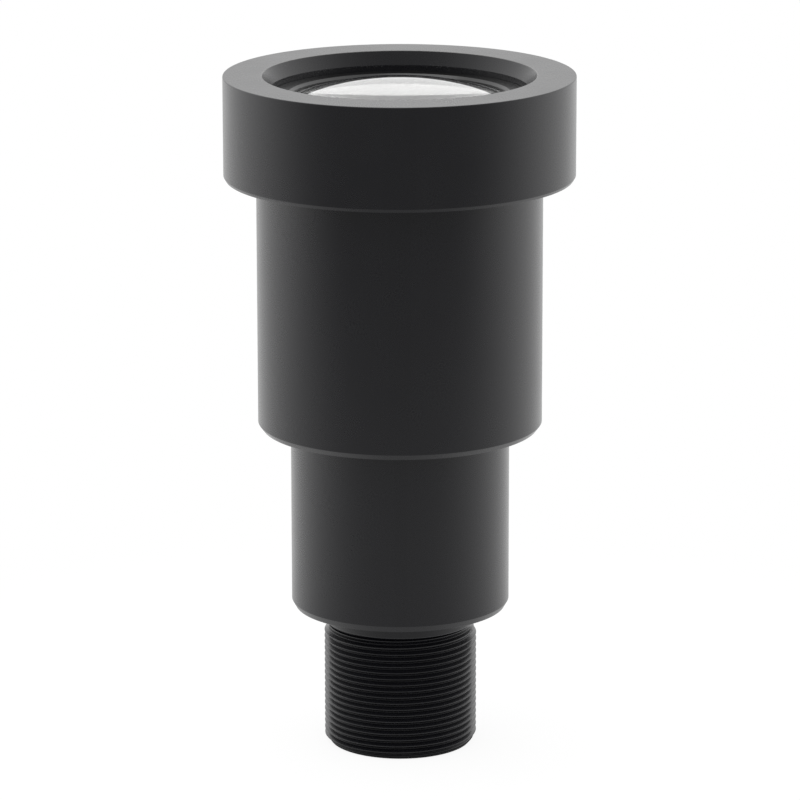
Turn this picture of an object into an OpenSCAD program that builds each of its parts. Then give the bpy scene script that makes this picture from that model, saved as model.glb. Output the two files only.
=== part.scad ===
// Telephoto board lens with an M12 mounting thread, standing on its threaded end.
// Millimetres. The optical axis is Z: z = 0 is the rear end, by the sensor, and the front looks up.
// The glass is placed from the front ring, the middle seat and the rear ring.

/* [Barrel outside] */
// Width of the flat ring round the front opening
head_face_width = 3.025; // [2:0.025:5]
// Length of the head
head_length = 8; // [7:0.1:12]
// Wall of the main barrel round the front glass
barrel_wall = 1.73; // [1.2:0.01:2.6]
// Length of the main barrel
barrel_length = 19.8; // [18:0.1:30]
// Wall of the lower barrel round the thread of the middle ring
lower_barrel_wall = 1.95; // [1.4:0.05:3]
// Length of the lower barrel
lower_barrel_length = 14.45; // [13.6:0.05:20]
// Width of the chamfer under the head
head_chamfer_width = 0.15; // [0.05:0.01:0.4]
// Height of the chamfer under the head
head_chamfer_height = 0.26; // [0.1:0.01:0.6]
// Width of the chamfer under the main barrel
barrel_chamfer_width = 0.33; // [0.1:0.01:0.5]
// Height of the chamfer under the main barrel
barrel_chamfer_height = 0.44; // [0.1:0.01:0.8]
// Width of the chamfer under the lower barrel
lower_chamfer_width = 0.28; // [0.1:0.01:0.5]
// Height of the chamfer under the lower barrel
lower_chamfer_height = 0.5; // [0.1:0.01:0.8]

/* [Mounting thread] */
// Outside diameter of the mounting thread
thread_d = 12; // [11.6:0.1:14]
// Length from the mounting shoulder to the rear end
mount_length = 11.2; // [10.4:0.1:14]
// Diameter of the plain neck under the mounting shoulder
neck_d = 11.8; // [11.2:0.05:11.9]
// Length of the plain neck
neck_length = 1.35; // [0.5:0.05:2]
// Width of the chamfer at the rear end of the thread
thread_chamfer_width = 0.45; // [0.2:0.01:0.6]
// Height of the chamfer at the rear end of the thread
thread_chamfer_height = 0.54; // [0.2:0.01:0.8]
// Wall between the mounting thread and the bore for the rear ring
thread_wall = 1; // [0.8:0.05:1.2]
// Chamfer on the inner edge of the rear end
rear_bore_chamfer = 0.15; // [0.05:0.01:0.3]

/* [Front opening] */
// Width of the conical rim that leads into the front opening
rim_width = 0.63; // [0.2:0.01:1.2]
// Depth of the conical rim
rim_depth = 1.05; // [0.5:0.05:1.3]
// Distance from the front face down to the front retaining ring
front_ring_setback = 1.49; // [1.35:0.01:2.5]

/* [Front retaining ring] */
// Length of the front retaining ring
front_ring_length = 2.6; // [1.6:0.1:3.5]
// Thickness of its threaded skirt
front_skirt_wall = 0.52; // [0.4:0.02:0.8]
// How far its lip reaches over the edge of the glass
front_lip_reach = 0.85; // [0.5:0.05:1.2]
// Bevel on the inner edge of the lip
front_lip_bevel = 0.28; // [0.1:0.01:0.5]
// Land under the bevel, where the lip meets the glass
front_lip_land = 0.07; // [0.05:0.01:0.3]

/* [Front glass] */
// Diameter of the glass in the front group
front_glass_d = 18.7; // [16:0.1:24]
// Centre thickness of the front element
front_element_thickness = 4; // [3.6:0.1:5]
// Radius of its convex front surface; its rear surface is flat
front_element_radius = 26.5; // [25:0.5:60]
// Air gap behind the front element, on the axis
front_air_gap = 0.8; // [0.5:0.1:2]
// Centre thickness of the first glass of the front doublet
front_crown_thickness = 4.2; // [3.8:0.1:5]
// Radius of its convex front surface
front_crown_radius = 34; // [30:1:80]
// Radius of the cemented surface of the front doublet
front_cement_radius = 42; // [36:1:90]
// Centre thickness of the second glass of the front doublet
front_flint_thickness = 1.6; // [1.2:0.1:2.5]
// Radius of its concave rear surface
front_flint_radius = 60; // [40:1:120]
// Width of the flat land round the concave rear surface
front_flint_land = 1.15; // [0.9:0.05:1.6]

/* [Front spacer] */
// Wall of the spacer between the front element and the doublet
front_spacer_wall = 1.05; // [0.8:0.05:1.4]

/* [Baffle tube] */
// Thickness of the flange that the doublet presses on its seat
baffle_flange = 0.8; // [0.5:0.1:1.5]
// Width of the seat in the barrel under that flange
front_seat_width = 1.1; // [0.8:0.05:1.4]
// Thinnest wall of the baffle tube, behind its grooves
baffle_wall = 0.4; // [0.3:0.05:0.6]
// Depth of the light-trap grooves
baffle_groove_depth = 0.45; // [0.3:0.05:0.7]
// Pitch of the light-trap grooves
baffle_groove_pitch = 1; // [0.7:0.1:1.5]
// Axial length of the steep side of each groove
baffle_groove_flank = 0.25; // [0.1:0.05:0.4]
// How far the rearmost crest stands in from the outside of the tube
baffle_rear_depth = 2.05; // [1.2:0.05:3]
// Floor left in the barrel above the step to the lower barrel
baffle_floor = 1.8; // [1.2:0.1:2.5]
// Room left under the tube, so that it rests on its flange
baffle_end_gap = 0.1; // [0.05:0.05:0.5]

/* [Light masks] */
// Thickness of the film rings that mask stray light
mask_thickness = 0.1; // [0.05:0.01:0.2]
// How far each mask reaches past the land it lies on
mask_reach = 0.3; // [0.1:0.05:0.6]

/* [Middle glass] */
// Diameter of the glass in the middle group
middle_glass_d = 12.5; // [10.5:0.1:14]
// Height of the middle seat above the mounting shoulder
middle_seat_height = 3.4; // [2:0.1:4]
// Width of the middle seat
middle_seat_width = 1.55; // [1:0.05:2]
// Centre thickness of the biconvex glass
middle_convex_thickness = 3.2; // [2.8:0.1:4]
// Radius of its front surface
middle_convex_front_radius = 30; // [20:1:60]
// Radius of its rear surface
middle_convex_rear_radius = 28; // [20:1:60]
// Air gap in front of the biconvex glass, on the axis
middle_air_gap = 1.6; // [1.3:0.1:2.5]
// Centre thickness of the biconcave glass
middle_concave_thickness = 1.8; // [1.2:0.1:2.5]
// Radius of its front surface
middle_concave_front_radius = 25; // [18:1:60]
// Radius of its rear surface
middle_concave_rear_radius = 30; // [20:1:60]
// Width of the flat land round both concave surfaces
middle_land = 1.15; // [0.8:0.05:1.6]
// Wall of the spacer between the two middle glasses
middle_spacer_wall = 1.25; // [1:0.05:1.5]

/* [Aperture stop] */
// How far the aperture stop reaches in from the edge of the middle glass
aperture_reach = 1.95; // [1.4:0.05:4]
// Thickness of the aperture stop
aperture_thickness = 0.2; // [0.1:0.05:0.4]
// Length of the spacer under the aperture stop
stop_spacer_length = 1.5; // [0.8:0.1:2]
// Wall of the spacer under the aperture stop
stop_spacer_wall = 0.95; // [0.8:0.05:1.1]

/* [Middle retaining ring] */
// Length of the middle retaining ring
middle_ring_length = 2; // [1.4:0.1:2.4]
// Radial step from the middle glass's bore out to the ring's thread
middle_thread_step = 0.33; // [0.25:0.01:0.6]
// Wall of the middle retaining ring
middle_ring_wall = 1.37; // [1:0.01:1.7]

/* [Rear glass] */
// Radial step from the rear ring's bore in to the rear glass's bore
rear_bore_step = 0.28; // [0.2:0.01:0.4]
// Width of the rear seat
rear_seat_width = 0.62; // [0.4:0.02:0.9]
// Centre thickness of the first glass of the rear doublet
rear_flint_thickness = 1.2; // [1:0.1:1.6]
// Radius of its concave front surface
rear_flint_radius = 22; // [16:1:60]
// Radius of the cemented surface of the rear doublet
rear_cement_radius = 12; // [9:0.5:30]
// Centre thickness of the second glass of the rear doublet
rear_crown_thickness = 3; // [2.6:0.1:3.2]
// Radius of its convex rear surface
rear_crown_radius = 20; // [14:1:60]
// Air gap in front of the field lens, on the axis
rear_air_gap = 1.5; // [1.2:0.1:1.8]
// Wall of the spacer between the rear doublet and the field lens
rear_spacer_wall = 0.8; // [0.6:0.05:1]
// Centre thickness of the field lens
field_lens_thickness = 1.3; // [1.1:0.1:1.6]
// Radius of its concave front surface
field_lens_front_radius = 16; // [12:1:60]
// Radius of its convex rear surface
field_lens_rear_radius = 40; // [25:1:90]

/* [Rear ring and filter] */
// Distance from the rear end in to the rear retaining ring
rear_ring_setback = 1.46; // [0.6:0.02:2]
// Length of the rear retaining ring
rear_ring_length = 1.7; // [1.4:0.1:1.9]
// Wall of the rear retaining ring
rear_ring_wall = 1.27; // [1.1:0.01:1.6]
// Ledge of the ring that the infrared filter is bonded to
filter_ledge = 0.5; // [0.3:0.05:0.8]
// Thickness of the infrared filter
filter_thickness = 0.3; // [0.2:0.05:0.5]
// How far the filter lies inside the ring's rear face
filter_setback = 0.1; // [0.05:0.05:0.3]
// Radial gap round the filter
filter_clearance = 0.05; // [0.02:0.01:0.1]

/* [Fits] */
// Radial clearance round glass, spacers and masks in their bores
lens_clearance = 0.02; // [0.01:0.005:0.05]
// Radial clearance of each retaining ring in its threaded bore
ring_clearance = 0.03; // [0.01:0.01:0.06]
// Gap between the front ring's skirt and the glass inside it
skirt_clearance = 0.07; // [0.03:0.01:0.12]
// Axial gap left at each seat
seat_gap = 0.01; // [0.005:0.005:0.03]
// Thickness of the cement between the glasses of a doublet
cement_gap = 0.01; // [0.005:0.005:0.03]
// Threaded bore left beyond each retaining ring
thread_runout = 0.5; // [0.3:0.1:0.8]
// Width of the spanner slots in the middle and rear rings
slot_width = 1.2; // [0.8:0.1:1.6]
// Depth of the slots in the middle ring
middle_slot_depth = 0.6; // [0.3:0.1:0.8]
// Depth of the slots in the rear ring, short of the ledge that the filter lies on
rear_slot_depth = 0.35; // [0.2:0.05:0.4]

/* [Hidden] */
$fn = 256;
// Length by which a cutter or an unground blank passes the face that it makes
pass = 1;

// Lengths of the outside steps, from the rear end
barrel_z = mount_length + lower_barrel_length;
head_z = barrel_z + barrel_length;
front_z = head_z + head_length;

// Bores
front_bore_d = front_glass_d + 2 * lens_clearance;
front_skirt_bore_d = front_glass_d + 2 * skirt_clearance;
front_ring_d = front_skirt_bore_d + 2 * front_skirt_wall;
front_thread_d = front_ring_d + 2 * ring_clearance;
rim_d = front_thread_d + 2 * rim_width;
baffle_d = front_glass_d - 2 * front_seat_width;
baffle_bore_d = baffle_d + 2 * lens_clearance;
middle_bore_d = middle_glass_d + 2 * lens_clearance;
middle_thread_d = middle_bore_d + 2 * middle_thread_step;
middle_ring_d = middle_thread_d - 2 * ring_clearance;
middle_opening_d = middle_glass_d - 2 * middle_seat_width;
rear_thread_d = thread_d - 2 * thread_wall;
rear_ring_d = rear_thread_d - 2 * ring_clearance;
rear_bore_d = rear_thread_d - 2 * rear_bore_step;
rear_glass_d = rear_bore_d - 2 * lens_clearance;
rear_opening_d = rear_glass_d - 2 * rear_seat_width;

// Outside diameters, from the bores and the walls round them
head_d = rim_d + 2 * head_face_width;
barrel_d = front_bore_d + 2 * barrel_wall;
lower_barrel_d = middle_thread_d + 2 * lower_barrel_wall;

// Openings of the rings and spacers
front_lip_d = front_glass_d - 2 * front_lip_reach;
front_spacer_opening_d = front_glass_d - 2 * front_spacer_wall;
front_flint_clear_d = front_glass_d - 2 * front_flint_land;
middle_clear_d = middle_glass_d - 2 * middle_land;
middle_spacer_opening_d = middle_glass_d - 2 * middle_spacer_wall;
stop_spacer_opening_d = middle_glass_d - 2 * stop_spacer_wall;
rear_spacer_opening_d = rear_glass_d - 2 * rear_spacer_wall;
aperture_d = middle_glass_d - 2 * aperture_reach;
middle_ring_opening_d = middle_ring_d - 2 * middle_ring_wall;
rear_ring_opening_d = rear_ring_d - 2 * rear_ring_wall;
filter_pocket_d = rear_ring_opening_d + 2 * filter_ledge;

// Front group, down from the retaining ring; "_front" and "_rear" are where the axis meets a surface
front_ring_top = front_z - front_ring_setback;
front_lip_z = front_ring_top - front_lip_bevel - front_lip_land;
front_ring_bottom = front_ring_top - front_ring_length;
front_element_front = front_lip_z - seat_gap + sag(front_element_radius, front_lip_d);
front_element_rear = front_element_front - front_element_thickness;
front_spacer_top = front_element_rear - seat_gap;
front_crown_front = front_element_rear - front_air_gap;
front_spacer_bottom = front_crown_front - sag(front_crown_radius, front_spacer_opening_d) + seat_gap;
front_crown_rear = front_crown_front - front_crown_thickness;
front_flint_front = front_crown_rear - cement_gap;
front_flint_rear = front_flint_front - front_flint_thickness;
front_flint_land_z = front_flint_rear - sag(front_flint_radius, front_flint_clear_d);
front_mask_top = front_flint_land_z - seat_gap;
baffle_top = front_mask_top - mask_thickness - seat_gap;
front_seat_z = baffle_top - baffle_flange - seat_gap;
baffle_floor_z = barrel_z + baffle_floor;
baffle_bottom = baffle_floor_z + baffle_end_gap;

// Middle group, up from its seat
middle_seat_z = mount_length + middle_seat_height;
middle_convex_rear = middle_seat_z + seat_gap - sag(middle_convex_rear_radius, middle_opening_d);
middle_convex_front = middle_convex_rear + middle_convex_thickness;
middle_spacer_bottom = middle_convex_front - sag(middle_convex_front_radius, middle_spacer_opening_d) + seat_gap;
middle_concave_rear = middle_convex_front + middle_air_gap;
middle_concave_land_z = middle_concave_rear - sag(middle_concave_rear_radius, middle_clear_d);
middle_mask_top = middle_concave_land_z - seat_gap;
middle_spacer_top = middle_mask_top - mask_thickness - seat_gap;
middle_concave_front = middle_concave_rear + middle_concave_thickness;
stop_spacer_bottom = middle_concave_front + sag(middle_concave_front_radius, middle_clear_d) + seat_gap;
stop_spacer_top = stop_spacer_bottom + stop_spacer_length;
aperture_bottom = stop_spacer_top + seat_gap;
middle_ring_bottom = aperture_bottom + aperture_thickness + seat_gap;
middle_ring_top = middle_ring_bottom + middle_ring_length;

// Rear group, up from its retaining ring to its seat
rear_ring_bottom = rear_ring_setback;
rear_ring_top = rear_ring_bottom + rear_ring_length;
field_lens_rear = rear_ring_top + seat_gap - sag(field_lens_rear_radius, rear_ring_opening_d);
field_lens_front = field_lens_rear + field_lens_thickness;
field_lens_land_z = field_lens_front + sag(field_lens_front_radius, rear_spacer_opening_d);
rear_spacer_bottom = field_lens_land_z + seat_gap;
rear_crown_rear = field_lens_front + rear_air_gap;
rear_spacer_top = rear_crown_rear + sag(rear_crown_radius, rear_spacer_opening_d) - seat_gap;
rear_crown_front = rear_crown_rear + rear_crown_thickness;
rear_flint_rear = rear_crown_front + cement_gap;
rear_flint_front = rear_flint_rear + rear_flint_thickness;
rear_flint_land_z = rear_flint_front + sag(rear_flint_radius, rear_opening_d);
rear_seat_z = rear_flint_land_z + seat_gap;
filter_bottom = rear_ring_bottom + filter_setback;
filter_top = filter_bottom + filter_thickness;

// Colours
anodised = "#26262a";
matte_black = "#1a1a1c";
film_black = "#101012";
coated_glass = [0.72, 0.82, 0.86, 0.5];
filter_glass = [0.62, 0.85, 0.88, 0.5];

// Height of a sphere's surface at its middle over a circle of diameter across
function sag(radius, across) = radius - sqrt(radius * radius - across * across / 4);

module ring(outer_d, inner_d, bottom, top) {
    difference() {
        translate([0, 0, bottom]) cylinder(d = outer_d, h = top - bottom);
        translate([0, 0, bottom - pass]) cylinder(d = inner_d, h = top - bottom + 2 * pass);
    }
}

module blank(d, bottom, top) {
    translate([0, 0, bottom]) cylinder(d = d, h = top - bottom);
}

// Grinds a convex surface: vertex is where it crosses the axis, and to_centre is the way to its centre
module ground_convex(vertex, to_centre) {
    intersection() {
        children();
        translate([0, 0, vertex + to_centre]) sphere(r = abs(to_centre));
    }
}

module ground_concave(vertex, to_centre) {
    difference() {
        children();
        translate([0, 0, vertex + to_centre]) sphere(r = abs(to_centre));
    }
}

// Two slots for a pin spanner, across a ring's flat face
module spanner_slots(inner_d, outer_d, face, depth) {
    for (side = [-1, 1])
        translate([side * (inner_d + outer_d) / 4, 0, face])
            cube([(outer_d - inner_d) / 2 + 2 * pass, slot_width, 2 * depth], center = true);
}

module barrel_section() {
    thread_r = thread_d / 2;
    outside = [
        [thread_r - thread_chamfer_width, 0],
        [thread_r, thread_chamfer_height],
        [thread_r, mount_length - neck_length],
        [neck_d / 2, mount_length - neck_length],
        [neck_d / 2, mount_length],
        [lower_barrel_d / 2 - lower_chamfer_width, mount_length],
        [lower_barrel_d / 2, mount_length + lower_chamfer_height],
        [lower_barrel_d / 2, barrel_z],
        [barrel_d / 2 - barrel_chamfer_width, barrel_z],
        [barrel_d / 2, barrel_z + barrel_chamfer_height],
        [barrel_d / 2, head_z],
        [head_d / 2 - head_chamfer_width, head_z],
        [head_d / 2, head_z + head_chamfer_height],
        [head_d / 2, front_z],
    ];
    inside = [
        [rim_d / 2, front_z],
        [front_thread_d / 2, front_z - rim_depth],
        [front_thread_d / 2, front_ring_bottom - thread_runout],
        [front_bore_d / 2, front_ring_bottom - thread_runout],
        [front_bore_d / 2, front_seat_z],
        [baffle_bore_d / 2, front_seat_z],
        [baffle_bore_d / 2, baffle_floor_z],
        [middle_thread_d / 2, baffle_floor_z],
        [middle_thread_d / 2, middle_ring_bottom - thread_runout],
        [middle_bore_d / 2, middle_ring_bottom - thread_runout],
        [middle_bore_d / 2, middle_seat_z],
        [middle_opening_d / 2, middle_seat_z],
        [rear_opening_d / 2, rear_seat_z],
        [rear_bore_d / 2, rear_seat_z],
        [rear_bore_d / 2, rear_ring_top + thread_runout],
        [rear_thread_d / 2, rear_ring_top + thread_runout],
        [rear_thread_d / 2, rear_bore_chamfer],
        [rear_thread_d / 2 + rear_bore_chamfer, 0],
    ];
    polygon(concat(outside, inside));
}

module main_barrel() {
    color(anodised) rotate_extrude() barrel_section();
}

module front_retaining_ring() {
    lip_r = front_lip_d / 2;
    section = [
        [front_ring_d / 2, front_ring_bottom],
        [front_ring_d / 2, front_ring_top],
        [lip_r + front_lip_bevel, front_ring_top],
        [lip_r, front_ring_top - front_lip_bevel],
        [lip_r, front_lip_z],
        [front_skirt_bore_d / 2, front_lip_z],
        [front_skirt_bore_d / 2, front_ring_bottom],
    ];
    color(anodised) rotate_extrude() polygon(section);
}

module front_element() {
    color(coated_glass)
        ground_convex(front_element_front, -front_element_radius)
            blank(front_glass_d, front_element_rear, front_element_front + pass);
}

module front_spacer() {
    color(matte_black) ring(front_glass_d, front_spacer_opening_d, front_spacer_bottom, front_spacer_top);
}

module front_crown() {
    color(coated_glass)
        ground_convex(front_crown_front, -front_crown_radius)
            ground_convex(front_crown_rear, front_cement_radius)
                blank(front_glass_d, front_crown_rear - pass, front_crown_front + pass);
}

module front_flint() {
    color(coated_glass)
        ground_concave(front_flint_front, front_cement_radius)
            ground_concave(front_flint_rear, -front_flint_radius)
                blank(front_glass_d, front_flint_land_z, front_crown_front);
}

module front_light_mask() {
    opening_d = front_flint_clear_d - 2 * mask_reach;
    color(film_black) ring(front_glass_d, opening_d, front_mask_top - mask_thickness, front_mask_top);
}

// The crests of the grooves lie on a cone that follows the light, and each groove has one flat side
module baffle_tube() {
    tube_length = baffle_top - baffle_bottom;
    crest_front = baffle_d / 2 - baffle_wall - baffle_groove_depth;
    crest_rear = baffle_d / 2 - baffle_rear_depth;
    grooves = floor(tube_length / baffle_groove_pitch);
    function crest(z) = crest_front + (crest_rear - crest_front) * (baffle_top - z) / tube_length;
    function groove_z(i) = baffle_top - i * baffle_groove_pitch;
    teeth = [
        for (i = [0 : grooves - 1], root = [0, 1])
            [crest(groove_z(i)) + root * baffle_groove_depth, groove_z(i) - root * baffle_groove_flank]
    ];
    section = concat(
        [
            [baffle_d / 2, baffle_bottom],
            [baffle_d / 2, baffle_top - baffle_flange],
            [front_glass_d / 2, baffle_top - baffle_flange],
            [front_glass_d / 2, baffle_top],
        ],
        teeth,
        [[crest_rear, baffle_bottom]]
    );
    color(matte_black) rotate_extrude() polygon(section);
}

module middle_retaining_ring() {
    color(matte_black) difference() {
        ring(middle_ring_d, middle_ring_opening_d, middle_ring_bottom, middle_ring_top);
        spanner_slots(middle_ring_opening_d, middle_ring_d, middle_ring_top, middle_slot_depth);
    }
}

module aperture_stop() {
    color(film_black) ring(middle_glass_d, aperture_d, aperture_bottom, aperture_bottom + aperture_thickness);
}

module stop_spacer() {
    color(matte_black) ring(middle_glass_d, stop_spacer_opening_d, stop_spacer_bottom, stop_spacer_top);
}

module middle_concave_element() {
    color(coated_glass)
        ground_concave(middle_concave_front, middle_concave_front_radius)
            ground_concave(middle_concave_rear, -middle_concave_rear_radius)
                blank(middle_glass_d, middle_concave_land_z, stop_spacer_bottom - seat_gap);
}

module middle_light_mask() {
    opening_d = middle_clear_d - 2 * mask_reach;
    color(film_black) ring(middle_glass_d, opening_d, middle_mask_top - mask_thickness, middle_mask_top);
}

module middle_spacer() {
    color(matte_black) ring(middle_glass_d, middle_spacer_opening_d, middle_spacer_bottom, middle_spacer_top);
}

module middle_convex_element() {
    color(coated_glass)
        ground_convex(middle_convex_front, -middle_convex_front_radius)
            ground_convex(middle_convex_rear, middle_convex_rear_radius)
                blank(middle_glass_d, middle_convex_rear - pass, middle_convex_front + pass);
}

module rear_flint() {
    color(coated_glass)
        ground_concave(rear_flint_front, rear_flint_radius)
            ground_concave(rear_flint_rear, -rear_cement_radius)
                blank(rear_glass_d, rear_crown_rear, rear_flint_land_z);
}

module rear_crown() {
    color(coated_glass)
        ground_convex(rear_crown_front, -rear_cement_radius)
            ground_convex(rear_crown_rear, rear_crown_radius)
                blank(rear_glass_d, rear_crown_rear - pass, rear_crown_front + pass);
}

module rear_spacer() {
    color(matte_black) ring(rear_glass_d, rear_spacer_opening_d, rear_spacer_bottom, rear_spacer_top);
}

module field_lens() {
    color(coated_glass)
        ground_concave(field_lens_front, field_lens_front_radius)
            ground_convex(field_lens_rear, field_lens_rear_radius)
                blank(rear_glass_d, field_lens_rear - pass, field_lens_land_z);
}

module rear_retaining_ring() {
    color(matte_black) difference() {
        ring(rear_ring_d, rear_ring_opening_d, rear_ring_bottom, rear_ring_top);
        blank(filter_pocket_d, rear_ring_bottom - pass, filter_top + seat_gap);
        spanner_slots(filter_pocket_d, rear_ring_d, rear_ring_bottom, rear_slot_depth);
    }
}

module infrared_filter() {
    color(filter_glass) blank(filter_pocket_d - 2 * filter_clearance, filter_bottom, filter_top);
}

main_barrel();
front_retaining_ring();
front_element();
front_spacer();
front_crown();
front_flint();
front_light_mask();
baffle_tube();
middle_retaining_ring();
aperture_stop();
stop_spacer();
middle_concave_element();
middle_light_mask();
middle_spacer();
middle_convex_element();
rear_flint();
rear_crown();
rear_spacer();
field_lens();
rear_retaining_ring();
infrared_filter();
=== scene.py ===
import math

import bpy
from mathutils import Matrix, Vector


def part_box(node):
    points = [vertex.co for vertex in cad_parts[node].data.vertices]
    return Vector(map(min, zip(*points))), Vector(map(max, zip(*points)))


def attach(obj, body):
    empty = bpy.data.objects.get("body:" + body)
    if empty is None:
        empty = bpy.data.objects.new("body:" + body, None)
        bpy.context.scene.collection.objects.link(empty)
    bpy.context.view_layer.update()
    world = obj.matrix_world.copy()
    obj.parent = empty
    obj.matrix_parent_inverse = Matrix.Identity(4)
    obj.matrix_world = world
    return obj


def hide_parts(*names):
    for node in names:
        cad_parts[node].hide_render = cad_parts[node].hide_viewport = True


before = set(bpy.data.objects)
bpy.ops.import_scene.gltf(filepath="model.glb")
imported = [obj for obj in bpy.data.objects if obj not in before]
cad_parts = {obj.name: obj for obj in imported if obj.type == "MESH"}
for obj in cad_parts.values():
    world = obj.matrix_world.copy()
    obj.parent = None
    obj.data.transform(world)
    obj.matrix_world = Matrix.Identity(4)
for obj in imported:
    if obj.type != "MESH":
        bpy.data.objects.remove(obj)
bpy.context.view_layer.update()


# Barrel: one piece turned from aluminium bar, bored from both ends, with the mounting thread
# cut on its rear end. The outside is fine blasted and satin black anodised, and the bores are
# matte black against stray light.

MM = 0.001
SIDES = 256  # sides of every turned piece
ARC_STEP = math.radians(16)  # the most that one facet of a rounded edge turns


def swept(corners, closed=True):
    """Walks round a turned section, its material on the left, whose (radius, height, rounding) corners are
    in mm. Gives its walls, each from (radius, height, normal) to (radius, height, normal)."""
    count = len(corners)
    ends = []
    for i, (r, z, rounding) in enumerate(corners):
        if not closed and i in (0, count - 1):
            ends.append([(r, z, None)])
            continue
        before, after = corners[i - 1], corners[(i + 1) % count]
        way_in = math.atan2(z - before[1], r - before[0])
        way_out = math.atan2(after[1] - z, after[0] - r)
        turn = (way_out - way_in + math.pi) % (2 * math.pi) - math.pi
        if rounding == 0 or abs(turn) < 0.01:
            ends.append([(r, z, None)])
            continue
        reach = rounding * math.tan(abs(turn) / 2)
        bend = math.copysign(rounding, turn)
        centre_r = r - reach * math.cos(way_in) - bend * math.sin(way_in)
        centre_z = z - reach * math.sin(way_in) + bend * math.cos(way_in)
        steps = max(2, math.ceil(abs(turn) / ARC_STEP))
        arc = []
        for k in range(steps + 1):
            way = way_in + turn * k / steps
            normal = (math.sin(way), -math.cos(way))
            arc.append((centre_r + bend * normal[0], centre_z + bend * normal[1], normal))
        ends.append(arc)
    walls = []
    for i in range(count if closed else count - 1):
        walls += zip(ends[i][:-1], ends[i][1:])
        (r0, z0, _), (r1, z1, _) = ends[i][-1], ends[(i + 1) % count][0]
        length = math.hypot(r1 - r0, z1 - z0)
        if length > 1e-6:
            normal = ((z1 - z0) / length, -(r1 - r0) / length)
            walls.append(((r0, z0, normal), (r1, z1, normal)))
    return walls


class Skin:
    """Gathers the faces of a piece, welds their corners, and keeps the true normal of each corner."""

    def __init__(self):
        self.places, self.points, self.faces, self.normals, self.finishes = {}, [], [], [], []

    def point(self, x, y, z):
        key = (round(x * 1e5), round(y * 1e5), round(z * 1e5))
        if key not in self.places:
            self.places[key] = len(self.points)
            self.points.append((x * MM, y * MM, z * MM))
        return self.places[key]

    def face(self, corners, finish=0):
        """corners are ((x, y, z), normal) pairs, anticlockwise from outside; corners that meet are dropped"""
        found = []
        for place, normal in corners:
            index = self.point(*place)
            if index not in [f[0] for f in found]:
                found.append((index, normal))
        if len(found) > 2:
            self.faces.append([f[0] for f in found])
            self.normals += [f[1] for f in found]
            self.finishes.append(finish)

    def spin(self, walls, finish=0):
        """Turns walls round the lens's axis"""
        turns = [2 * math.pi * j / SIDES for j in range(SIDES)]
        around = [(math.cos(a), math.sin(a)) for a in turns]
        for (r0, z0, n0), (r1, z1, n1) in walls:
            for j in range(SIDES):
                c0, s0 = around[j]
                c1, s1 = around[(j + 1) % SIDES]
                self.face([
                    ((r0 * c0, r0 * s0, z0), (n0[0] * c0, n0[0] * s0, n0[1])),
                    ((r0 * c1, r0 * s1, z0), (n0[0] * c1, n0[0] * s1, n0[1])),
                    ((r1 * c1, r1 * s1, z1), (n1[0] * c1, n1[0] * s1, n1[1])),
                    ((r1 * c0, r1 * s0, z1), (n1[0] * c0, n1[0] * s0, n1[1])),
                ], finish)

    def piece(self, name, *finishes):
        """The object made of what was gathered"""
        mesh = bpy.data.meshes.new(name)
        mesh.from_pydata(self.points, [], self.faces)
        for finish in finishes:
            mesh.materials.append(finish)
        mesh.polygons.foreach_set("material_index", self.finishes)
        mesh.polygons.foreach_set("use_smooth", [True] * len(self.faces))
        mesh.normals_split_custom_set(self.normals)
        made = bpy.data.objects.new(name, mesh)
        bpy.context.scene.collection.objects.link(made)
        return made


def stand_in(piece, node):
    """Has a piece take the place of a CAD node"""
    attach(piece, "root")
    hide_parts(node)


class Signal:
    """A node's output, so that shader maths reads as plain expressions."""

    def __init__(self, finish, socket):
        self.finish, self.socket = finish, socket

    def maths(self, operation, *values):
        return self.finish.node("Math", {"operation": operation}, dict(enumerate(values)))

    def __add__(self, other):
        return self.maths("ADD", self, other)

    def __radd__(self, other):
        return self.maths("ADD", other, self)

    def __sub__(self, other):
        return self.maths("SUBTRACT", self, other)

    def __rsub__(self, other):
        return self.maths("SUBTRACT", other, self)

    def __mul__(self, other):
        return self.maths("MULTIPLY", self, other)

    def __rmul__(self, other):
        return self.maths("MULTIPLY", other, self)

    def __pow__(self, other):
        return self.maths("POWER", self, other)

    def at_most(self, other):
        return self.maths("MINIMUM", self, other)

    def within(self, low, high):
        """0 below low and 1 above high, smooth between; low may be the greater"""
        return self.finish.node("MapRange", {"interpolation_type": "SMOOTHSTEP"},
                                {"Value": self, "From Min": low, "From Max": high})


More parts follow.
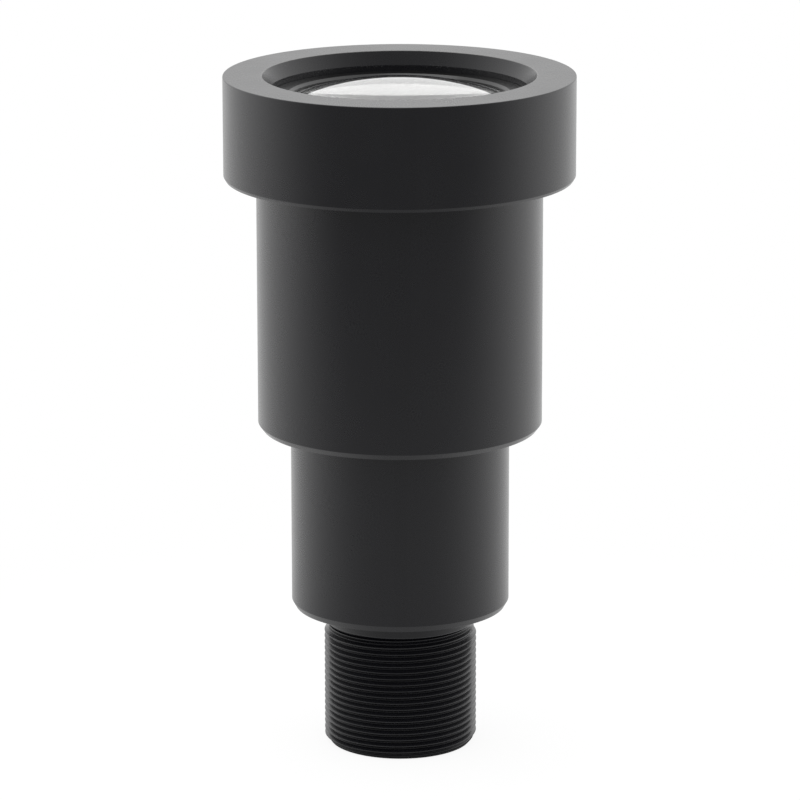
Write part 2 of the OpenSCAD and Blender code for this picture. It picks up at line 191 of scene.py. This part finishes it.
class Finish:
    """The nodes of one material, or of the world."""

    def __init__(self, owner):
        owner.use_nodes = True
        self.tree = owner.node_tree
        self.tree.nodes.clear()

    def node(self, kind, settings=None, inputs=None, out=0):
        """Adds a node, whose inputs are signals or values, and gives one of its outputs"""
        made = self.tree.nodes.new("ShaderNode" + kind)
        for key, value in (settings or {}).items():
            setattr(made, key, value)
        for key, value in (inputs or {}).items():
            if isinstance(value, Signal):
                self.tree.links.new(value.socket, made.inputs[key])
            else:
                made.inputs[key].default_value = value
        return Signal(self, made.outputs[out]) if made.outputs else None

    def mixed(self, share, first, second):
        """A colour between two colours; share, first and second may be signals"""
        return self.node("Mix", {"data_type": "RGBA"}, {0: share, 6: first, 7: second}, out=2)

    def noise(self, place, scale, detail=2.0, roughness=0.5):
        return self.node("TexNoise", {}, {"Vector": place, "Scale": scale, "Detail": detail,
                                          "Roughness": roughness})

    def bump(self, height, distance, strength=1.0):
        return self.node("Bump", {}, {"Height": height, "Distance": distance, "Strength": strength})

    def surface(self, shader):
        self.node("OutputMaterial", {}, {"Surface": shader})

    def sight(self):
        """Whether a ray comes straight from the camera, and whether it was mirrored or let through before"""
        direct, mirrored, through = [self.node("LightPath", out=f"Is {kind} Ray")
                                     for kind in ("Camera", "Glossy", "Transmission")]
        return direct, (mirrored + through).at_most(1.0)

    def millimetres(self):
        """The place on the object in mm, its distance from the lens's axis, and its height"""
        place = self.node("TexCoord", out="Object")
        place = self.node("VectorMath", {"operation": "SCALE"}, {0: place, "Scale": 1 / MM})
        flat = self.node("VectorMath", {"operation": "MULTIPLY"}, {0: place, 1: (1, 1, 0)})
        across = self.node("VectorMath", {"operation": "LENGTH"}, {0: flat}, out="Value")
        height = self.node("SeparateXYZ", {}, {0: place}, out="Z")
        return place, across, height


def made_finish(name):
    material = bpy.data.materials.new(name)
    return material, Finish(material)


def anodised(name, dark, light, roughness, grain, turning, refraction=1.6, worn=()):
    """Sealed anodising: fine blasted grain, faint turning marks, and edges where the black is thin.
    worn lists those edges as (radius, height, width, strength)."""
    material, f = made_finish(name)
    place, across, height = f.millimetres()
    cloud = f.noise(place, 0.35, 3.0)
    blast = f.noise(place, 14.0, 2.0, 0.6)
    rings = f.node("CombineXYZ", {}, {0: across * 9.0, 1: height * 9.0, 2: 0.0})
    marks = f.noise(rings, 1.0, 3.0, 0.7)
    colour = f.mixed(cloud, (*dark, 1), (*light, 1))
    for r, z, width, strength in worn:
        away = ((across - r) ** 2 + (height - z) ** 2) ** 0.5
        patchy = away.within(width, width * 0.4) * (0.6 + 0.8 * cloud) * strength
        colour = f.mixed(patchy, colour, (0.30, 0.295, 0.29, 1))
    f.surface(f.node("BsdfPrincipled", {}, {
        "Base Color": colour,
        "Roughness": roughness + (cloud - 0.5) * 0.06 + (blast - 0.5) * 0.05,
        "Normal": f.bump(blast * grain + marks * turning, 0.001 * MM),
        "IOR": refraction,
        "Coat Weight": 0.15,
        "Coat Roughness": roughness,
    }))
    return material


head_r, barrel_r, lower_r, neck_r = 13.625, 11.1, 8.55, 5.9
front_z, head_z, barrel_z, mount_z = 53.45, 45.45, 25.65, 11.2
rim_r, rim_width, rim_depth = 10.6, 0.63, 1.05
bore_r, bore_z = rim_r - rim_width, 51.5
thread_r, thread_top, pitch = 6.0, 9.85, 0.5
thread_depth = 0.6134 * pitch
thread_root_r = thread_r - thread_depth
end_chamfer_r, end_chamfer_z = 5.55, 0.54
# The width and height of the chamfer under each step
head_in, head_up = 0.15, 0.26
barrel_in, barrel_up = 0.33, 0.44
lower_in, lower_up = 0.28, 0.5

outside = [
    (thread_root_r, thread_top, 0),
    (neck_r, thread_top, 0.16),
    (neck_r, mount_z, 0.05),
    (lower_r - lower_in, mount_z, 0.03),
    (lower_r, mount_z + lower_up, 0.06),
    (lower_r, barrel_z, 0.05),
    (barrel_r - barrel_in, barrel_z, 0.03),
    (barrel_r, barrel_z + barrel_up, 0.06),
    (barrel_r, head_z, 0.05),
    (head_r - head_in, head_z, 0.03),
    (head_r, head_z + head_up, 0.05),
    (head_r, front_z, 0.08),
    (rim_r, front_z, 0.04),
    (bore_r, front_z - rim_depth, 0.03),
    (bore_r, bore_z, 0),
]
rear_bore_r, rear_bore_z = 5.0, 1.0
inside = [
    (bore_r, bore_z, 0),
    (bore_r, 48.86, 0),
    (9.37, 48.86, 0.03),  # bore of the front doublet
    (9.37, 40.9, 0),
    (8.27, 40.9, 0.03),  # bore of the baffle tube
    (8.27, 27.45, 0),
    (6.6, 27.45, 0.03),  # thread of the middle ring
    (6.6, 22.57, 0),
    (6.27, 22.57, 0.03),  # bore of the middle group
    (6.27, 14.6, 0),
    (4.7, 14.6, 0.03),  # middle seat, and the light's own cone
    (4.08, 10.4, 0),
    (4.72, 10.4, 0),  # rear seat, and bore of the rear group
    (4.72, 3.66, 0.03),
    (rear_bore_r, 3.66, 0),  # thread of the rear ring
    (rear_bore_r, rear_bore_z, 0),
]
rear_end = [
    (rear_bore_r, rear_bore_z, 0),
    (rear_bore_r, 0.15, 0.02),
    (rear_bore_r + 0.15, 0, 0.02),
    (end_chamfer_r, 0, 0),
]

barrel_black = anodised("satin_black_anodising", (0.0042, 0.0042, 0.0064), (0.0064, 0.0064, 0.0092),
                        0.27, 1.0, 0.8,
                        worn=[(rim_r, front_z, 0.06, 0.5), (head_r, front_z, 0.04, 0.1)])
bore_black = anodised("matte_black_bore", (0.004, 0.004, 0.004), (0.006, 0.006, 0.006), 0.62, 2.0, 4.0)
barrel_skin = Skin()
barrel_skin.spin(swept(outside, closed=False))
barrel_skin.spin(swept(inside, closed=False), finish=1)
barrel_skin.spin(swept(rear_end, closed=False))

# One turn of the thread's section, upward from the root: (share of the pitch, share of the depth
# below the crest, normal outward, normal upward). Its flanks stand at 60 degrees to each other.
slope, lean = math.sin(math.radians(30)), math.cos(math.radians(30))
thread_section = [
    (0.00, 1.00, 1, 0),
    (0.08, 0.98, slope, -lean),
    (0.42, 0.03, slope, -lean),
    (0.46, 0.00, 1, 0),
    (0.54, 0.00, 1, 0),
    (0.58, 0.03, slope, lean),
    (0.92, 0.98, slope, lean),
]
run_out, run_out_length = thread_top - 0.5, 0.3
chamfer_rise = (thread_r - end_chamfer_r) / end_chamfer_z
chamfer_normal = (1 / math.hypot(1, chamfer_rise), -chamfer_rise / math.hypot(1, chamfer_rise))


def thread_corner(row, side):
    """The corner of the thread's surface on a row of its section, at one of its sides, and its normal.
    The rows climb a pitch in each turn, anticlockwise from above, as a right-hand thread does."""
    turns, step = divmod(row, len(thread_section))
    share, below, outward, upward = thread_section[step]
    z = pitch * (turns + share + side / SIDES - 1)
    z = min(max(z, 0.0), thread_top)
    cut = min(max((run_out - z) / run_out_length, 0.0), 1.0)
    r = thread_root_r + (1 - below) * thread_depth * cut
    chamfer_r = end_chamfer_r + chamfer_rise * z
    if chamfer_r < r:
        r, (outward, upward) = chamfer_r, chamfer_normal
    a = 2 * math.pi * side / SIDES
    return (r * math.cos(a), r * math.sin(a), z), (outward * math.cos(a), outward * math.sin(a), upward)


for row in range(len(thread_section) * (math.ceil(thread_top / pitch) + 2)):
    for side in range(SIDES):
        barrel_skin.face([thread_corner(row, side), thread_corner(row, side + 1),
                          thread_corner(row + 1, side + 1), thread_corner(row + 1, side)])
stand_in(barrel_skin.piece("barrel", barrel_black, bore_black), "main_barrel")


# Middle group: a biconvex and a biconcave glass, a turned spacer and a film mask between them.
# They are dropped on the seat in the lower barrel from the front, under the aperture stop, and
# a slotted ring holds them down.


def optical_glass(name, refraction, tint, glint=(0.1, 0.12, 0.2), hard_coat=0.0):
    """Polished glass, coated against reflections. glint is what is left of them face on, and the hard
    coat mirrors again at low angles; the ground edge is a finish of its own."""
    material, f = made_finish(name)
    place, _, _ = f.millimetres()
    haze = f.noise(place, 0.25, 2.0)
    f.surface(f.node("BsdfPrincipled", {}, {
        "Base Color": f.mixed(haze, (*tint, 1), (*[0.97 * c for c in tint], 1)),
        "Roughness": 0.0,
        "IOR": refraction,
        "Transmission Weight": 1.0,
        "Specular Tint": (*glint, 1),
        "Coat Weight": hard_coat,
        "Coat Roughness": 0.0,
        "Coat IOR": 1.6,
    }))
    return material


def ground_glass(name, colour):
    """The fine ground, unpolished edge of a glass"""
    material, f = made_finish(name)
    place, _, _ = f.millimetres()
    grain = f.noise(place, 9.0, 3.0, 0.6)
    f.surface(f.node("BsdfPrincipled", {}, {
        "Base Color": f.mixed(grain, (*[0.92 * c for c in colour], 1), (*colour, 1)),
        "Roughness": 0.8,
        "Normal": f.bump(grain, 0.01 * MM, 0.6),
        "IOR": 1.45,
    }))
    return material


def sagitta(radius, r):
    """How far a spherical face has fallen at a distance from the axis"""
    return r * r / radius / (1 + math.sqrt(1 - (r / radius) ** 2))


def ground_face(vertex, radius, to_r, facing, steps=20):
    """The walls of a glass's face, which crosses the axis at vertex and faces forward for 1, back for -1.
    Its radius is negative where it is hollow and infinite where it is flat."""
    points = []
    for k in range(steps + 1):
        r = to_r * k / steps
        rise = math.sqrt(1 - (r / radius) ** 2)
        points.append((r, vertex - facing * sagitta(radius, r), (r / radius, facing * rise)))
    return list(zip(points[1:], points[:-1]) if facing > 0 else zip(points[:-1], points[1:]))


def made_glass(name, node, front, rear, body, edge):
    """Stands in for a CAD glass, in the node's own box. front and rear are each (radius, land), where the
    radius is as in ground_face and the land is the width of the flat round the face."""
    (_, _, bottom), (edge_r, _, top) = [[c / MM for c in corner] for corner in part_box(node)]
    bevel = 0.08
    skin = Skin()
    corners = []
    for z, (radius, land), facing in ((bottom, rear, -1), (top, front, 1)):
        fall = sagitta(radius, edge_r - land)
        vertex = z + facing * (fall if land else min(fall, 0))
        to_r = edge_r - max(land, bevel)
        edge_z = vertex - facing * sagitta(radius, to_r)
        skin.spin(ground_face(vertex, radius, to_r, facing))
        corners.append([(to_r, edge_z, 0), (edge_r - bevel, edge_z, 0), (edge_r, edge_z - facing * bevel, 0)])
    skin.spin(swept(corners[0] + corners[1][::-1], closed=False), finish=1)
    stand_in(skin.piece(name, body, edge), node)


def dress(nodes, finish):
    """Gives a finish to CAD nodes whose shape stays"""
    for node in nodes:
        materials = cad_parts[node].data.materials
        materials.clear()
        materials.append(finish)


crown_glass = optical_glass("crown_glass", 1.52, (0.97, 0.99, 0.985))
flint_glass = optical_glass("flint_glass", 1.67, (0.985, 0.99, 0.97))
inked_edge = ground_glass("inked_glass_edge", (0.012, 0.012, 0.012))
made_glass("middle_convex_glass", "middle_convex_element", (30, 0), (28, 0), crown_glass, inked_edge)
made_glass("middle_concave_glass", "middle_concave_element", (-25, 1.15), (-30, 1.15),
           flint_glass, inked_edge)

film, f = made_finish("matte_black_film")
place, _, _ = f.millimetres()
fleck = f.noise(place, 30.0, 2.0, 0.6)
f.surface(f.node("BsdfPrincipled", {}, {
    "Base Color": f.mixed(fleck, (0.006, 0.006, 0.006, 1), (0.012, 0.012, 0.012, 1)),
    "Roughness": 0.75,
    "Normal": f.bump(fleck, 0.004 * MM, 0.5),
}))
dress(["middle_spacer", "stop_spacer", "middle_retaining_ring"], bore_black)
dress(["middle_light_mask", "aperture_stop"], film)


# Front group: a cemented doublet presses the flanged baffle tube on its seat through a film mask,
# and a spacer carries the front glass, whose rear face is nearly flat. The front glass is coated
# against reflections, and its edge is fine ground and left white.

dress(["baffle_tube", "front_spacer"], bore_black)
dress(["front_light_mask"], film)
made_glass("front_flint_glass", "front_flint", (-42, 0), (-60, 1.15), flint_glass, inked_edge)
made_glass("front_crown_glass", "front_crown", (34, 0), (42, 0), crown_glass, inked_edge)
dense_crown = optical_glass("dense_crown_glass", 1.6, (0.86, 0.865, 0.85), glint=(1, 1, 1), hard_coat=1.0)
pale_edge = ground_glass("pale_ground_edge", (0.85, 0.85, 0.84))
made_glass("front_glass", "front_element", (26.5, 0), (80, 1.05), dense_crown, pale_edge)


# Front retaining ring: a turned cup-shaped ring, screwed in over the front glass, with a bevelled
# lip on the glass. It is anodised as the barrel is.

ring_black = anodised("black_anodised_ring", (0.005, 0.005, 0.0055), (0.008, 0.008, 0.0085),
                      0.22, 1.4, 1.5, refraction=1.7)
ring_r, ring_bottom, ring_top = 9.94, 49.36, 51.96
lip_r, lip_bevel, lip_depth, skirt_r = 8.5, 0.2, 0.35, 9.42
ring_skin = Skin()
ring_skin.spin(swept([
    (ring_r, ring_bottom, 0.03),
    (ring_r, ring_top, 0.04),
    (lip_r + lip_bevel, ring_top, 0.02),
    (lip_r, ring_top - lip_bevel, 0.01),
    (lip_r, ring_top - lip_depth, 0),
    (skirt_r, ring_top - lip_depth, 0),
    (skirt_r, ring_bottom, 0.03),
]))
stand_in(ring_skin.piece("front_ring", ring_black), "front_retaining_ring")


# Rear group: a cemented doublet on the rear seat, a spacer and the field lens, put in from the
# rear end and held by a slotted ring, with the infrared filter bonded in the ring's pocket.

made_glass("rear_flint_glass", "rear_flint", (-22, 0.62), (-12, 0), flint_glass, inked_edge)
made_glass("rear_crown_glass", "rear_crown", (12, 0), (20, 0), crown_glass, inked_edge)
made_glass("field_glass", "field_lens", (-16, 0.8), (40, 0), flint_glass, inked_edge)
dress(["rear_spacer"], bore_black)
dress(["rear_retaining_ring"], ring_black)
infrared_cut = optical_glass("infrared_cut_glass", 1.52, (0.72, 0.93, 0.95), glint=(0.9, 0.35, 0.4))
made_glass("infrared_filter_glass", "infrared_filter", (math.inf, 0), (math.inf, 0),
           infrared_cut, inked_edge)


# Floor: a plain pale table top. It is white to the camera and keeps the lens's own shadow where
# it stands. In reflections its brightness is painted: painted shade before the lens, painted light
# under its steps, and a painted shadow round its foot.

floor_r = 150
floor_skin = Skin()
floor_skin.spin([((floor_r, 0, (0, 1)), (0, 0, (0, 1)))])
floor_white, f = made_finish("pale_table")
place, across, _ = f.millimetres()
direct, met = f.sight()
bearing = f.node("VectorMath", {"operation": "NORMALIZE"}, {0: place})
ahead = f.node("SeparateXYZ", {}, {0: bearing}, out="Y")
near = across.within(60.0, 15.0)
# Mirrored, the table has painted shade before the lens, painted light under its steps, and a painted shadow
# round its foot
painted_shade_before_lens = 0.32 + 0.66 * ahead.within(-1.1, 0.6) + 0.07 * across.within(140.0, 60.0)
painted_light_under_steps = 0.25 * across.within(25.0, 9.0)
painted_foot_shadow = 0.12 + 0.68 * across.within(6.0, 8.2) + 0.2 * across.within(30.0, 65.0)
level = direct * (1 + 0.12 * near) + met * ((painted_shade_before_lens + painted_light_under_steps) * painted_foot_shadow)
pale = f.node("BsdfDiffuse", {}, {"Color": (0.85, 0.85, 0.85, 1)})
# The glow is white to the camera and carries the painted shade, light and shadow into reflections
glow_with_painted_reflections = f.node("Emission", {}, {"Color": (1, 1, 1, 1), "Strength": level})
seen = direct + met
f.surface(f.node("MixShader", {}, {0: seen * (1 - 0.2 * near), 1: pale, 2: glow_with_painted_reflections}))
floor = floor_skin.piece("table", floor_white)


# Studio: an even white surround, dimmer where the camera stands, and one large soft lamp overhead.

world = bpy.data.worlds.new("studio")
bpy.context.scene.world = world
f = Finish(world)
way = f.node("TexCoord", out="Generated")
ahead = f.node("SeparateXYZ", {}, {0: way}, out="Y")
direct, met = f.sight()
level = direct + met * (0.22 + 0.78 * ahead.within(-0.78, 0.4)) + (1 - (direct + met)) * 0.7
light = f.node("Background", {}, {"Color": (1, 1, 1, 1), "Strength": level})
f.node("OutputWorld", {}, {"Surface": light})

lamp = bpy.data.lights.new("overhead_softbox", "AREA")
lamp.shape = "DISK"
lamp.size = 0.8
lamp.energy = 1.5
overhead = bpy.data.objects.new("overhead_softbox", lamp)
overhead.location = (-0.15, 0.1, 1.0)
overhead.rotation_euler = (math.radians(-6), math.radians(-8), 0)
overhead.visible_transmission = False
bpy.context.scene.collection.objects.link(overhead)

lens_view = bpy.data.cameras.new("photo_view")
lens_view.sensor_width = 36
lens_view.lens = 216.84
lens_view.clip_start, lens_view.clip_end = 0.01, 10
camera = bpy.data.objects.new("photo_view", lens_view)
camera_place = (0, -0.36527, 0.12025)
tilt, roll = math.radians(75.774), math.radians(-0.087)
camera.matrix_world = (Matrix.Translation(camera_place) @ Matrix.Rotation(tilt, 4, "X")
                       @ Matrix.Rotation(roll, 4, "Z"))
bpy.context.scene.collection.objects.link(camera)
bpy.context.scene.camera = camera

view = bpy.context.scene.view_settings
view.view_transform = "Standard"
